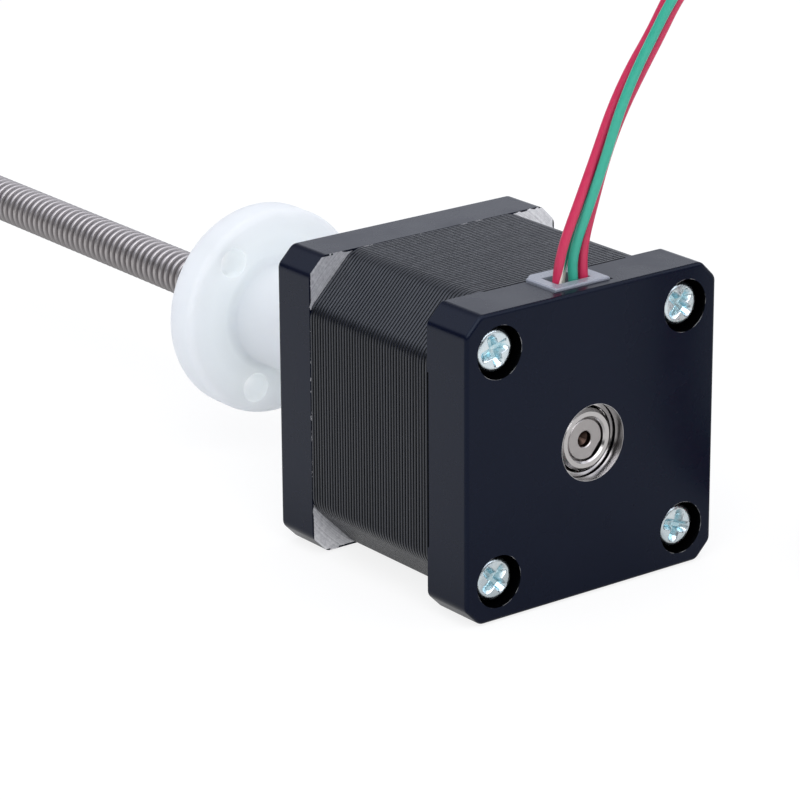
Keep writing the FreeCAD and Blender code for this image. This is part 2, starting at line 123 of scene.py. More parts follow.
leadSettings = {
    "diameter": 1.1, "sides": 16, "resolution": 6, "foot": (-30.6, 0.5), "lean": (-0.6, -0.8), "viewer": (-0.8, 0.6),
    "leg": 30.5, "legColumn": 0.6, "legPitch": 1.25, "layerPitch": 1.2, "lift": 0.4, "clear": 0.05,
    "coilEntry": -10.9, "coilRadii": (9.0, 4.7), "turnPitch": 1.15, "pointsPerTurn": 14,
    "endLength": 4.0, "endOverlap": 0.1, "endInward": 0.5, "endSteps": 6,
    "strand": 0.28, "strandSides": 12, "strandResolution": 4,
}
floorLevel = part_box("rear_bell")[0].z / mm
lowestLead = floorLevel + leadSettings["lift"] + leadSettings["diameter"] / 2 + leadSettings["clear"]
leads = {
    "lead_red_white": {
        "rise": [(-1.6, 0.6, 15.4), (-1.52, 0.6, 17.5), (-1.26, 0.6, 20.0), (-0.64, 0.5, 22.5), (0.71, 0.2, 26.3),
                 (2.58, -0.4, 31.6), (4.17, -0.65, 36.5), (6.1, -0.8, 40.9), (8.17, -0.95, 44.6), (9.81, -1.05, 48.2)],
        "place": (0.75, -1.0), "layer": 2, "slot": "red_white_lead", "stripeAt": (156, 248),
    },
    "lead_green": {
        "rise": [(0.4, -0.6, 15.4), (0.33, -0.6, 17.1), (0.15, -0.5, 19.6), (0.7, -0.2, 22.3), (1.94, 0.15, 26.2),
                 (3.63, 0.5, 31.7), (5.0, 0.7, 36.7), (6.66, 0.8, 41.1), (8.44, 0.85, 44.9), (10.15, 0.9, 48.5)],
        "place": (0.0, 0.85), "layer": 0, "slot": "green_lead",
    },
    "lead_red": {
        "rise": [(1.6, -1.4, 15.4), (1.47, -1.4, 16.9), (1.29, -1.4, 19.3), (1.48, -1.3, 21.9), (2.4, -1.15, 25.9),
                 (3.7, -0.85, 31.4), (5.4, -0.6, 36.4), (7.44, -0.35, 40.9), (9.26, -0.15, 44.7), (10.87, -0.05, 48.3)],
        "place": (-0.9, -0.1), "layer": 1, "slot": "red_lead",
    },
    "lead_green_white": {
        "rise": [(-1.2, -1.3, 15.4), (-1.1, -1.3, 17.1), (-0.8, -1.5, 19.6), (-0.1, -1.75, 22.3), (1.3, -2.0, 26.2),
                 (3.15, -2.15, 31.7), (4.8, -2.15, 36.7), (6.75, -2.15, 41.1), (8.6, -2.2, 44.9), (10.2, -2.25, 48.5)],
        "place": (0.0, -2.2), "layer": 3, "slot": "green_white_lead", "stripeAt": (150, 250),
    },
}
archRoute = [(9.9, 49.0), (13.5, 54.0), (19.0, 57.2), (24.6, 55.6), (28.3, 50.6), (30.0, 43.0), (30.4, 32.5),
             (30.3, 21.5), (30.5, 10.0)]


def fromLean(along, towards, height):
    s = leadSettings
    x = s["foot"][0] + s["lean"][0] * along + s["viewer"][0] * towards
    y = s["foot"][1] + s["lean"][1] * along + s["viewer"][1] * towards
    return Vector((x, y, height)) * mm


def leadRoute(lead):
    # up out of the grommet, over the arch, and down beside the rear end to the coil's entry
    s = leadSettings
    outwards, towards = lead["place"]
    points = list(lead["rise"])
    for before, here, after in zip(archRoute, archRoute[1:], archRoute[2:]):
        run, rise = after[0] - before[0], after[1] - before[1]
        length = math.hypot(run, rise)
        points.append((here[0] - outwards * rise / length, towards, here[1] + outwards * run / length))
    up = s["layerPitch"] * lead["layer"]
    column = s["legColumn"] - s["legPitch"] * lead["layer"]
    leg, lowest = s["leg"], lowestLead
    points += [   # straight down the leg, then round into the lead's own layer of the coil
        (leg + 0.7 * outwards, (towards + column) / 2, 10.5), (leg - 0.2, column, -0.5),
        (leg, column - 0.4, lowest + 9.0 + 0.75 * up), (leg + 0.1, -1.8 - 0.9 * up, lowest + 3.8 + up),
        (leg, -5.6 - 0.5 * up, lowest + 0.6 + up), (leg, s["coilEntry"], lowest + up),
    ]
    return [fromLean(*p) for p in points], lowest + up


def coilPoint(turn, radius, height):
    s = leadSettings
    angle = math.pi + 2 * math.pi * turn
    return fromLean(s["leg"] + s["coilRadii"][0] + radius * math.cos(angle),
                    s["coilEntry"] + radius * math.sin(angle), height)


def coilSteps():
    s = leadSettings
    outer, inner = s["coilRadii"]
    return round((outer - inner) / s["turnPitch"] * s["pointsPerTurn"])


def coilRoute(height):
    s = leadSettings
    turns = [i / s["pointsPerTurn"] for i in range(1, coilSteps() + 1)]
    return [coilPoint(t, s["coilRadii"][0] - s["turnPitch"] * t, height) for t in turns]


def splinePoints(controls, resolution):
    curve = bpy.data.curves.new("route", "CURVE")
    curve.dimensions, curve.resolution_u = "3D", resolution
    spline = curve.splines.new("NURBS")
    spline.points.add(len(controls) - 1)
    for point, place in zip(spline.points, controls):
        point.co = (*place, 1)
    spline.order_u = 3
    spline.use_endpoint_u = True
    obj = linkObject("route", curve)
    mesh = bpy.data.meshes.new_from_object(obj)
    points = [v.co.copy() for v in mesh.vertices]
    bpy.data.meshes.remove(mesh)
    dropObject(obj)
    return points


def sweepTube(name, points, radius, sides):
    # round tube along points, with a UV map: U round the tube, V along it in metres
    tangents = [(b - a).normalized() for a, b in zip(points, points[1:])]
    tangents = [tangents[0]] + [(a + b).normalized() for a, b in zip(tangents, tangents[1:])] + [tangents[-1]]
    away = Vector((0.8, -0.6, 0))   # from the viewer, where U starts
    normal = (away - tangents[0] * away.dot(tangents[0])).normalized()
    verts, lengths, faces = [], [0.0], []
    for i, (place, tangent) in enumerate(zip(points, tangents)):
        if i:
            normal = (normal - tangent * normal.dot(tangent)).normalized()
            lengths.append(lengths[-1] + (place - points[i - 1]).length)
        across = tangent.cross(normal)
        for k in range(sides):
            angle = 2 * math.pi * k / sides
            verts.append(place + (normal * math.cos(angle) + across * math.sin(angle)) * radius)
    rings = len(points)
    uvs = []
    for i in range(rings - 1):
        for k in range(sides):
            a, b = i * sides + k, i * sides + (k + 1) % sides
            faces.append((a, b, b + sides, a + sides))
            for row, column in ((i, k), (i, k + 1), (i + 1, k + 1), (i + 1, k)):
                uvs.append((column / sides, lengths[row]))
    faces.append(tuple(range(sides))[::-1])
    faces.append(tuple((rings - 1) * sides + k for k in range(sides)))
    uvs += [(0.5, 0.0)] * (2 * sides)
    obj = meshObject(name, verts, faces)
    layer = obj.data.uv_layers.new(name="alongTube")
    for loop, uv in zip(layer.data, uvs):
        loop.uv = uv
    return obj, lengths[-1]


leadPieces = {}
for leadName, lead in leads.items():
    controls, layerHeight = leadRoute(lead)
    controls += coilRoute(layerHeight)
    line = splinePoints(controls, leadSettings["resolution"])
    piece, length = sweepTube(leadName + "_wire", line, leadSettings["diameter"] / 2 * mm, leadSettings["sides"])
    leadPieces[leadName] = {"wire": piece, "line": line, "length": length, "height": layerHeight}
    print("lead", leadName, "length", round(length, 4))


def strippedEnd(name, height):
    # tinned conductor that goes on round the coil's inner turn and bends a little inwards
    s = leadSettings
    outer, inner = s["coilRadii"]
    start = coilSteps() / s["pointsPerTurn"]
    span = s["endLength"] / (2 * math.pi * inner)
    steps, overlap = s["endSteps"], s["endOverlap"]
    controls = []
    for i in range(steps + 1):
        t = start + (i / steps * (1 + overlap) - overlap) * span
        bend = s["endInward"] * max(i - 1, 0) / steps
        controls.append(coilPoint(t, outer - s["turnPitch"] * t - bend, height))
    line = splinePoints(controls, s["strandResolution"])
    return sweepTube(name, line, s["strand"] * mm, s["strandSides"])[0]


for leadName, made in leadPieces.items():
    made["end"] = strippedEnd(leadName + "_end", made["height"])


# tie round the coil

tieSettings = {"turn": 0.5, "width": 1.6, "thickness": 0.3, "clear": 0.08, "corner": 0.9, "steps": 6}


def coilTie():
    s, c = leadSettings, tieSettings
    r = s["diameter"] / 2 + c["clear"]
    low, high = lowestLead - r, lowestLead + (len(leads) - 1) * s["layerPitch"] + r
    outer, inner = s["coilRadii"][0] + r, s["coilRadii"][1] - r
    centre = fromLean(s["leg"] + s["coilRadii"][0], s["coilEntry"], 0)
    radial = (coilPoint(c["turn"], 1.0, 0) - centre).normalized()
    along = Vector((0, 0, 1)).cross(radial)
    loop = []
    for cx, cz, start in ((outer, high, 0), (inner, high, 90), (inner, low, 180), (outer, low, 270)):
        sx, sz = (1 if cx == outer else -1), (1 if cz == high else -1)
        for i in range(c["steps"] + 1):
            a = math.radians(start + 90 * i / c["steps"])
            loop.append((cx - sx * c["corner"], cz - sz * c["corner"], math.cos(a), math.sin(a)))
    section = ((0, -1), (0, 1), (1, 1), (1, -1))   # the band's four corners: outwards, along the coil
    verts, faces = [], []
    for x, z, nx, nz in loop:
        for grow, shift in section:
            reach = c["corner"] + grow * c["thickness"]
            place = radial * (x + nx * reach) + along * (shift * c["width"] / 2)
            verts.append(centre + Vector((0, 0, z + nz * reach)) * mm + place * mm)
    sides = len(section)
    for i in range(len(loop)):
        here, following = i * sides, (i + 1) % len(loop) * sides
        for k in range(sides):
            beside = (k + 1) % sides
            faces.append((here + k, following + k, following + beside, here + beside))
    return meshObject("coil_tie", verts, faces, smooth=False)


coilTiePiece = coilTie()
print("leads, ends and tie made")


# geometry nodes helpers

def newTree(name, floats, integers=()):
    tree = bpy.data.node_groups.new(name, "GeometryNodeTree")
    sockets = [("Geometry", "Geometry"), *((label, "Float") for label in floats),
               *((label, "Int") for label in integers), ("Material", "Material")]
    for label, kind in sockets:
        tree.interface.new_socket(name=label, in_out="INPUT", socket_type="NodeSocket" + kind)
    tree.interface.new_socket(name="Geometry", in_out="OUTPUT", socket_type="NodeSocketGeometry")
    return tree, tree.nodes.new("NodeGroupInput").outputs, tree.nodes.new("NodeGroupOutput")


def endTree(tree, geometry, given, output):
    real = addNode(tree, "GeometryNodeRealizeInstances", {"Geometry": geometry})
    painted = addNode(tree, "GeometryNodeSetMaterial", {"Geometry": real.outputs[0], "Material": given["Material"]})
    tree.links.new(painted.outputs[0], output.inputs[0])


def filletCurve(tree, curve, radius, count):
    return addNode(tree, "GeometryNodeFilletCurve", {"Curve": curve, "Radius": radius, "Count": count},
                   mode="POLY").outputs[0]


def bakeTree(host, tree, values, name):
    modifier = host.modifiers.new(tree.name, "NODES")
    modifier.node_group = tree
    identifiers = {item.name: item.identifier for item in tree.interface.items_tree if item.in_out == "INPUT"}
    for label, value in values.items():
        modifier[identifiers[label]] = value
    graph = bpy.context.evaluated_depsgraph_get()
    mesh = bpy.data.meshes.new_from_object(host.evaluated_get(graph), depsgraph=graph)
    mesh.name = name
    host.modifiers.remove(modifier)
    obj = linkObject(name, mesh)
    dropObject(host)
    return obj


# materials; depths, widths and pitches are in millimetres, and a bump is its depth and its strength

white = (1, 1, 1, 1)


def clearTree(owner):
    owner.use_nodes = True
    owner.node_tree.nodes.clear()
    return owner.node_tree


def newMaterial(name, **sockets):
    material = bpy.data.materials.new(name)
    tree = clearTree(material)
    shader = addNode(tree, "ShaderNodeBsdfPrincipled", {k.replace("_", " "): v for k, v in sockets.items()})
    addNode(tree, "ShaderNodeOutputMaterial", {"Surface": shader.outputs[0]})
    return material, tree, shader


def feed(tree, shader, **links):
    for key, value in links.items():
        tree.links.new(value, shader.inputs[key.replace("_", " ")])


def objectCoords(tree, scale=(1, 1, 1)):
    coords = addNode(tree, "ShaderNodeTexCoord").outputs["Object"]
    return addNode(tree, "ShaderNodeMapping", {"Vector": coords, "Scale": scale}).outputs[0]


def noise(tree, vector, scale, detail=3.0, rough=0.5):
    return addNode(tree, "ShaderNodeTexNoise", {"Vector": vector, "Scale": scale, "Detail": detail,
                                                "Roughness": rough}).outputs["Fac"]


def spread(tree, value, low, high, fromLow=0.3, fromHigh=0.7):
    return addNode(tree, "ShaderNodeMapRange", {"Value": value, "From Min": fromLow, "From Max": fromHigh,
                                                "To Min": low, "To Max": high}).outputs[0]


def between(tree, share, low, high):
    return spread(tree, share, low, high, 0, 1)


def mixColour(tree, factor, a, b):
    # the colour inputs are found by place, because the node's other kinds of input share their names
    return addNode(tree, "ShaderNodeMix", {0: factor, 6: a, 7: b}, data_type="RGBA").outputs[2]


def addBump(tree, shader, height, depth, strength):
    bump = addNode(tree, "ShaderNodeBump", {"Height": height, "Distance": depth * mm, "Strength": strength})
    tree.links.new(bump.outputs[0], shader.inputs["Normal"])


def splitPlace(tree, where):
    return addNode(tree, "ShaderNodeSeparateXYZ", {"Vector": where}).outputs


def flatPlace(tree, y, z):
    return addNode(tree, "ShaderNodeCombineXYZ", {"Y": y, "Z": z}).outputs[0]


def vectorLength(tree, vector):
    return addNode(tree, "ShaderNodeVectorMath", {0: vector}, operation="LENGTH").outputs["Value"]


def axisRadius(tree, where):
    # distance from the motor's axis, and the place along it
    parts = splitPlace(tree, where)
    return vectorLength(tree, flatPlace(tree, parts["Y"], parts["Z"])), parts["X"]


def cornerRadius(tree, where, pitch):
    # distance from the nearest of the four screws' axes, and the place along it
    parts = splitPlace(tree, where)
    corner = [mathNode(tree, "SUBTRACT", mathNode(tree, "ABSOLUTE", parts[axis]), pitch / 2 * mm) for axis in "YZ"]
    return vectorLength(tree, flatPlace(tree, *corner)), parts["X"]


coatSettings = {
    "colour": (0.002, 0.0032, 0.0108, 1), "bright": (0.0034, 0.005, 0.0148, 1), "rough": (0.24, 0.31),
    "specular": 0.14, "tint": (0.74, 0.86, 1.0, 1), "peelScale": 2600, "peel": (0.02, 0.25), "cloudScale": 160,
    "pitch": 26.0, "pocket": 3.0, "hole": 1.25, "sunkMargin": 0.002, "sunkShadeColour": (0.0006, 0.0006, 0.0008, 1),
    "sunkShadeSpecular": 0.04, "ringScale": 5200, "ringShare": 0.6, "grainScale": 2400, "grainFrom": (0.38, 0.62),
    "seat": 4.38, "rim": 0.035, "rimDepth": 0.06, "wearScale": 700, "wear": 0.5, "patchFrom": (0.5, 0.62),
    "faceDepth": 0.01, "edgeScale": 900, "edgePaint": (0.22, -0.02),
}


def blackCoat(name, sunk, bareMask, metals, bareMetallic, bareRough):
    # satin black paint with a faint orange peel, and painted shade down in the screw pockets; the mask says where
    # turned metal shows
    s = coatSettings
    material, tree, shader = newMaterial(name)
    where = objectCoords(tree)
    peel = noise(tree, where, s["peelScale"], 2)
    cloud = noise(tree, where, s["cloudScale"], 4)
    fromScrew, _ = cornerRadius(tree, where, s["pitch"])
    pocketShade = mathNode(tree, "LESS_THAN", fromScrew, (s[sunk] + s["sunkMargin"]) * mm)   # painted shade: near-black, with little specular, as little light gets in there
    paint = mixColour(tree, pocketShade, mixColour(tree, cloud, s["colour"], s["bright"]), s["sunkShadeColour"])
    bare = bareMask(tree, where)
    radius, _ = axisRadius(tree, where)
    rings = noise(tree, addNode(tree, "ShaderNodeCombineXYZ", {"X": radius}).outputs[0], s["ringScale"], 3, 0.6)
    grain = mathNode(tree, "ADD", mathNode(tree, "MULTIPLY", rings, s["ringShare"]),
                     mathNode(tree, "MULTIPLY", noise(tree, where, s["grainScale"], 4, 0.7), 1 - s["ringShare"]))
    metal = mixColour(tree, spread(tree, grain, 0, 1, *s["grainFrom"]), *metals)
    rough = mathNode(tree, "ADD", spread(tree, cloud, *s["rough"]), mathNode(tree, "MULTIPLY", bare, bareRough))
    feed(tree, shader, Base_Color=mixColour(tree, bare, paint, metal), Roughness=rough,
         Metallic=mathNode(tree, "MULTIPLY", bare, bareMetallic),
         Specular_Tint=mixColour(tree, bare, s["tint"], white),
         Specular_IOR_Level=between(tree, pocketShade, s["specular"], s["sunkShadeSpecular"]))
    addBump(tree, shader, peel, *s["peel"])
    return material


def rearBare(tree, where):
    # the bearing seat's mouth is machined after painting, and the screw pockets' rims are worn
    s = coatSettings
    radius, _ = axisRadius(tree, where)
    seat = mathNode(tree, "LESS_THAN", radius, s["seat"] * mm)
    fromScrew, x = cornerRadius(tree, where, s["pitch"])
    rim = mathNode(tree, "COMPARE", fromScrew, s["pocket"] * mm)
    rim.node.inputs[2].default_value = s["rim"] * mm
    onFace = mathNode(tree, "LESS_THAN", x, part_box("rear_bell")[0].x + s["rimDepth"] * mm)
    patches = spread(tree, noise(tree, where, s["wearScale"]), 0, s["wear"], *s["patchFrom"])
    worn = mathNode(tree, "MULTIPLY", mathNode(tree, "MULTIPLY", rim, onFace), patches)
    return mathNode(tree, "MAXIMUM", seat, worn)


def frontBare(tree, where):
    # the face that the stack sits on is machined after painting; paint is left along its edge, chipped here and there
    s = coatSettings
    parts = splitPlace(tree, where)
    low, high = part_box("front_bell")
    face = mathNode(tree, "LESS_THAN", parts["X"], low.x + s["faceDepth"] * mm)
    outermost = mathNode(tree, "MAXIMUM", *(mathNode(tree, "ABSOLUTE", parts[axis]) for axis in "YZ"))
    edge = mathNode(tree, "SUBTRACT", high.y, outermost)
    widths = (width * mm for width in s["edgePaint"])
    painted = spread(tree, noise(tree, where, s["edgeScale"]), *widths, *s["patchFrom"])
    return mathNode(tree, "MULTIPLY", face, mathNode(tree, "GREATER_THAN", edge, painted))


metalSettings = {"glint": 1.16, "bump": (0.01, 0.2)}


def metalGrain(tree, where, scale):
    return noise(tree, where, scale, 4, 0.6)


def glinting(tree, fine, colour):
    light = tuple(min(c * metalSettings["glint"], 1) for c in colour[:3]) + (1,)
    return mixColour(tree, fine, colour, light)


def steel(name, colour, rough, grain):
    material, tree, shader = newMaterial(name, Metallic=1.0)
    fine = metalGrain(tree, objectCoords(tree), grain)
    feed(tree, shader, Base_Color=glinting(tree, fine, colour), Roughness=spread(tree, fine, *rough))
    addBump(tree, shader, fine, *metalSettings["bump"])
    return material


screwSettings = {
    "lead": 1.2192, "depth": 0.62, "crest": 0.42, "foot": 0.95, "sunk": 0.3, "round": 0.19, "stepsPerTurn": 40,
    "journal": 2.5, "bevel": 0.1, "collar": 0.7, "runOut": 1.0, "chamfer": 0.5, "plain": 1.75, "recess": 0.35,
    "neck": 2.34, "neckLength": 0.8, "flatOffset": 2.0, "flatLength": 5.0, "flatStep": 0.01, "flatAngle": -140.0,
    "hole": 0.9, "holeDepth": 1.6, "holeBevel": 0.12, "holeMargin": 0.02, "sides": 96, "sharp": 35,
    "colour": srgb(155, 151, 151), "rootPaintedLight": srgb(168, 164, 165), "endColour": srgb(172, 168, 167),
    "holeColour": srgb(70, 56, 50), "rootFrom": (0.5, 0.08), "threadFrom": 1.2, "rough": (0.34, 0.44),
    "grainScale": 1500, "grainStretch": (0.15, 1, 1),
}


def rolledScrew(name):
    # rolled stainless, with painted light in the thread's roots (lighter than the crests, to lift the shade in the
    # grooves), and a dark centre hole in the rear end
    s = screwSettings
    material, tree, shader = newMaterial(name, Metallic=1.0)
    radius, x = axisRadius(tree, objectCoords(tree))
    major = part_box("lead_screw")[1].z
    fine = metalGrain(tree, objectCoords(tree, s["grainStretch"]), s["grainScale"])
    # painted light: lighter towards the thread's roots, where the grooves are in shade
    low = spread(tree, radius, 1, 0, *(major - depth * mm for depth in s["rootFrom"]))
    threaded = mathNode(tree, "GREATER_THAN", x, s["threadFrom"] * mm)
    rootLightShare = mathNode(tree, "MULTIPLY", low, threaded)
    inHole = mathNode(tree, "MULTIPLY", mathNode(tree, "LESS_THAN", x, 0.0),
                      mathNode(tree, "LESS_THAN", radius, (s["hole"] + s["holeMargin"]) * mm))
    base = mixColour(tree, rootLightShare, glinting(tree, fine, s["colour"]), s["rootPaintedLight"])
    base = mixColour(tree, threaded, s["endColour"], base)
    base = mixColour(tree, inHole, base, s["holeColour"])
    feed(tree, shader, Base_Color=base, Roughness=spread(tree, fine, *s["rough"]))
    addBump(tree, shader, fine, *metalSettings["bump"])
    return material


tieScrewSettings = {
    "headRadius": 2.45, "headHeight": 1.9, "crown": 0.6, "dome": 0.1, "bevel": 0.1, "shank": 1.25,
    "core": 0.25, "coreLength": 2.4, "arm": 0.66, "reach": 1.95, "margin": 0.1, "wall": 0.42, "end": 0.8,
    "recess": 1.0, "recessTaper": 0.35, "recessShare": 0.6, "pitch": 26.0, "turns": (45, 72, 20, 49),
    "sides": 160, "rings": 56, "sharp": 40,
    "plate": srgb(213, 225, 231), "recessColour": srgb(184, 217, 226), "recessFrom": (0.12, 0.45),
    "glint": srgb(234, 242, 242), "glintShare": 0.6, "glintFrom": (0.45, 0.65), "rough": (0.22, 0.36),
    "grainScale": 1700, "bump": (0.05, 0.5),
}


def zincPlate(name):
    # bright plate, bluer and a little darker down in the cross recess
    s = tieScrewSettings
    material, tree, shader = newMaterial(name, Metallic=1.0)
    where = objectCoords(tree)
    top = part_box("tie_screws")[0].x
    radius, x = cornerRadius(tree, where, s["pitch"])
    within = mathNode(tree, "LESS_THAN", radius, (s["reach"] + s["margin"]) * mm)
    deep = spread(tree, x, 0, 1, *(top + depth * mm for depth in s["recessFrom"]))
    fine = metalGrain(tree, where, s["grainScale"])
    base = mixColour(tree, mathNode(tree, "MULTIPLY", within, deep), s["plate"], s["recessColour"])
    base = mixColour(tree, spread(tree, fine, 0, s["glintShare"], *s["glintFrom"]), base, s["glint"])
    feed(tree, shader, Base_Color=base, Roughness=spread(tree, fine, *s["rough"]))
    addBump(tree, shader, fine, *s["bump"])
    return material


mouldedSettings = {"bump": (0.01, 0.15), "cloudShare": 0.1}


def plastic(name, colour, other, rough, grain, subsurface=0.0, radius=1.0):
    material, tree, shader = newMaterial(name, Subsurface_Weight=subsurface, Subsurface_Scale=1.0,
                                         Subsurface_Radius=(radius * mm,) * 3)
    where = objectCoords(tree)
    cloud = noise(tree, where, grain * mouldedSettings["cloudShare"])
    fine = noise(tree, where, grain)
    feed(tree, shader, Base_Color=mixColour(tree, cloud, colour, other), Roughness=spread(tree, fine, *rough))
    addBump(tree, shader, fine, *mouldedSettings["bump"])
    return material


nutSettings = {
    "colours": (srgb(219, 224, 227), srgb(225, 230, 233)), "rough": (0.5, 0.6), "specular": 0.2,
    "scatter": (11, 10.8, 10.2), "glowColour": (0.92, 0.98, 0.93, 1), "glow": 0.06, "through": 0.09,
    "web": (6.2, 7.4, 9.6, 12.5), "holes": 3, "holeCircle": 9.525, "holeAngle": 50.0, "hole": 1.85,
    "cloudScale": 120, "grainScale": 3000, "toolPitch": 0.22, "bump": (0.006, 0.3),
}


def turnedPlastic(name):
    # machined acetal: milky, with fine tool lines round the axis, and painted light: the web and the holes glow,
    # standing in for light that shines into the flange from behind
    s = nutSettings
    material, tree, shader = newMaterial(
        name, Specular_IOR_Level=s["specular"], Subsurface_Weight=1.0, Subsurface_Scale=1.0,
        Subsurface_Radius=tuple(reach * mm for reach in s["scatter"]), Emission_Color=s["glowColour"])
    where = objectCoords(tree)
    radius, x = axisRadius(tree, where)
    lines = mathNode(tree, "SINE", mathNode(tree, "MULTIPLY", mathNode(tree, "ADD", x, radius),
                                            2 * math.pi / (s["toolPitch"] * mm)))
    cloud = noise(tree, where, s["cloudScale"])
    fine = noise(tree, where, s["grainScale"])
    parts = splitPlace(tree, where)
    flat = flatPlace(tree, parts["Y"], parts["Z"])
    inHole = 0.0
    for i in range(s["holes"]):
        angle = math.radians(s["holeAngle"] + 360 / s["holes"] * i)
        axis = (0, s["holeCircle"] * math.cos(angle) * mm, s["holeCircle"] * math.sin(angle) * mm)
        away = addNode(tree, "ShaderNodeVectorMath", {0: flat, 1: axis}, operation="DISTANCE").outputs["Value"]
        inHole = mathNode(tree, "ADD", inHole, mathNode(tree, "LESS_THAN", away, s["hole"] * mm))
    # painted light: emission in the flange's web and in its holes
    start, full, fade, end = (reach * mm for reach in s["web"])
    inWeb = mathNode(tree, "MULTIPLY", spread(tree, radius, 1, 0, fade, end), spread(tree, radius, 0, 1, start, full))
    glow = mathNode(tree, "ADD", mathNode(tree, "MULTIPLY", inWeb, s["through"]),
                    mathNode(tree, "MULTIPLY", inHole, s["glow"]))
    feed(tree, shader, Base_Color=mixColour(tree, cloud, *s["colours"]), Roughness=spread(tree, fine, *s["rough"]),
         Emission_Strength=glow)
    addBump(tree, shader, lines, *s["bump"])
    return material


jacketSettings = {
    "red": (srgb(190, 34, 76), srgb(202, 46, 88)), "green": (srgb(44, 157, 132), srgb(56, 171, 146)),
    "redStripe": srgb(238, 228, 218), "greenStripe": srgb(238, 232, 222), "stripeEdge": (0.1, 0.115), "twist": 6.0,
    "rough": (0.3, 0.38), "specular": 0.5, "streaks": (2, 300, 1), "streakScale": 3, "bump": (0.01, 0.05),
}


def leadJacket(name, colours, stripe=None, stripeAt=(0, 0)):
    # extruded jacket: slight gloss, and on two of the leads a printed stripe that starts so many degrees round the
    # tube and swings by so many more in the first millimetres, as the lead is twisted there
    s = jacketSettings
    material, tree, shader = newMaterial(name, Specular_IOR_Level=s["specular"])
    uv = addNode(tree, "ShaderNodeUVMap", uv_map="alongTube").outputs[0]
    stretched = addNode(tree, "ShaderNodeMapping", {"Vector": uv, "Scale": s["streaks"]}).outputs[0]
    cloud = noise(tree, stretched, s["streakScale"])
    base = mixColour(tree, cloud, *colours)
    if stripe:
        parts = splitPlace(tree, uv)
        settled = mathNode(tree, "EXPONENT", mathNode(tree, "MULTIPLY", parts["Y"], -1 / (s["twist"] * mm)))
        swing = mathNode(tree, "MULTIPLY", mathNode(tree, "SUBTRACT", 1.0, settled), stripeAt[1] / 360)
        centre = mathNode(tree, "ADD", swing, stripeAt[0] / 360 - 0.5)
        turned = mathNode(tree, "FRACT", mathNode(tree, "SUBTRACT", parts["X"], centre))
        away = mathNode(tree, "ABSOLUTE", mathNode(tree, "SUBTRACT", turned, 0.5))
        base = mixColour(tree, spread(tree, away, 1, 0, *s["stripeEdge"]), base, stripe)
    feed(tree, shader, Base_Color=base, Roughness=spread(tree, cloud, *s["rough"]))
    addBump(tree, shader, cloud, *s["bump"])
    return material


copperSettings = {"colours": (srgb(150, 70, 32), srgb(196, 104, 52)), "rough": (0.25, 0.4), "pitch": 0.3,
                  "cloudScale": 900, "bump": (0.08, 0.8)}


def copperTurns(name):
    # enamelled wire laid side by side along the stack
    s = copperSettings
    material, tree, shader = newMaterial(name, Metallic=1.0)
    where = objectCoords(tree)
    radius, _ = axisRadius(tree, where)
    ridges = mathNode(tree, "SINE", mathNode(tree, "MULTIPLY", radius, 2 * math.pi / (s["pitch"] * mm)))
    cloud = noise(tree, where, s["cloudScale"])
    feed(tree, shader, Base_Color=mixColour(tree, cloud, *s["colours"]), Roughness=spread(tree, cloud, *s["rough"]))
    addBump(tree, shader, ridges, *s["bump"])
    return material


stackSettings = {
    "sheets": 43, "pitch": 0.493, "edge": 0.37, "depth": 1.0, "proud": 0.1, "crop": 5.7, "blend": 2.2, "rounding": 0.1,
    "colours": ((0.004, 0.005, 0.009, 1), (0.009, 0.01, 0.016, 1)), "tint": (0.9, 0.94, 1.0, 1),
    "gap": (0.25, 0.36), "gapShadeColour": (0.001, 0.001, 0.0014, 1), "gapShadeSpecular": 0.04,
    "specular": (0.63, 0.54, 0.33), "flank": (5, 6.5), "rough": (0.22, 0.32),
    "streakScale": 1500, "streaks": (3, 0.25, 0.25), "bump": (0.015, 0.4),
}


def laminationPaint(name):
    # black paint with a tone that varies from sheet to sheet, painted light that makes the top, the bottom and the
    # cropped corners more specular than the two flanks, and painted shade down in the gaps
    s = stackSettings
    material, tree, shader = newMaterial(name, Specular_Tint=s["tint"])
    parts = splitPlace(tree, objectCoords(tree))
    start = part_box("stator_core")[0].x
    count = mathNode(tree, "DIVIDE", mathNode(tree, "SUBTRACT", parts["X"], start), s["pitch"] * mm)
    offCentre = mathNode(tree, "ABSOLUTE", mathNode(tree, "SUBTRACT", mathNode(tree, "FRACT", count), 0.5))
    gap = spread(tree, offCentre, 0, 1, *s["gap"])   # painted shade: dark colour and little specular down in the gaps
    # painted light: the specular level follows which way the face looks, highest above and below, lowest on the flanks
    lean = mathNode(tree, "SUBTRACT", *(mathNode(tree, "ABSOLUTE", parts[axis]) for axis in "YZ"))
    near, far = (reach * mm for reach in s["flank"])
    upper, cropped, flank = s["specular"]
    faceLightSpecular = mathNode(tree, "ADD", spread(tree, lean, cropped, flank, near, far),
                     spread(tree, lean, upper - cropped, 0, -far, -near))
    tone = addNode(tree, "ShaderNodeTexWhiteNoise", {"W": mathNode(tree, "FLOOR", count)},
                   noise_dimensions="1D").outputs["Value"]
    streak = noise(tree, objectCoords(tree, s["streaks"]), s["streakScale"])
    colour = mixColour(tree, gap, mixColour(tree, tone, *s["colours"]), s["gapShadeColour"])
    feed(tree, shader, Base_Color=colour, Roughness=spread(tree, streak, *s["rough"]),
         Specular_IOR_Level=between(tree, gap, faceLightSpecular, s["gapShadeSpecular"]))
    addBump(tree, shader, streak, *s["bump"])
    return material


